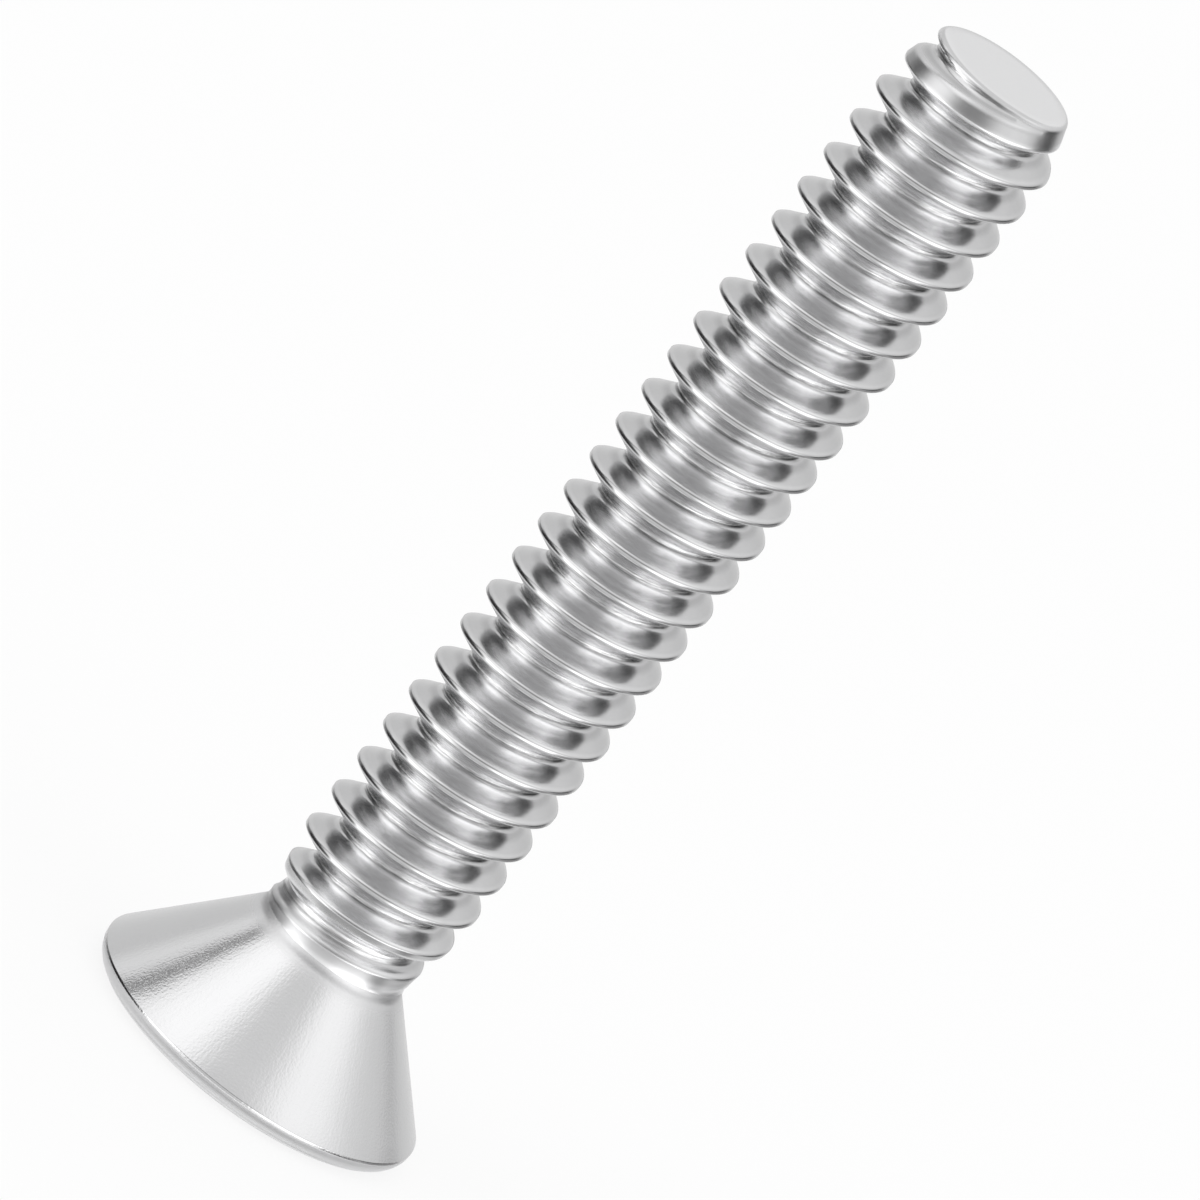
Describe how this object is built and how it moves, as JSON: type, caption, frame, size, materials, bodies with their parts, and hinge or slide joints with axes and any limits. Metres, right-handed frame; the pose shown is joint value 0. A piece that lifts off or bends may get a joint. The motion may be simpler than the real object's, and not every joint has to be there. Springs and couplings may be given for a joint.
{
  "type": "countersunk socket screw",
  "caption": "Flat countersunk machine screw with a hexagon socket, a coarse right-hand thread to the head and a pointed flat tip; stands on its head face.",
  "frame": {"origin": "centre of the head face, where the screw stands", "axes": "+Z along the screw from the head face to the tip; +X points at the side where a ridge's middle is 0.89 mm plus whole pitches above the head face"},
  "size_m": [0.009, 0.009, 0.0309],
  "materials": {
    "stainless": "bright stainless steel: turned head, rolled thread, no coating"
  },
  "bodies": {
    "root": {"screw": "stainless"}
  },
  "joints": []
}
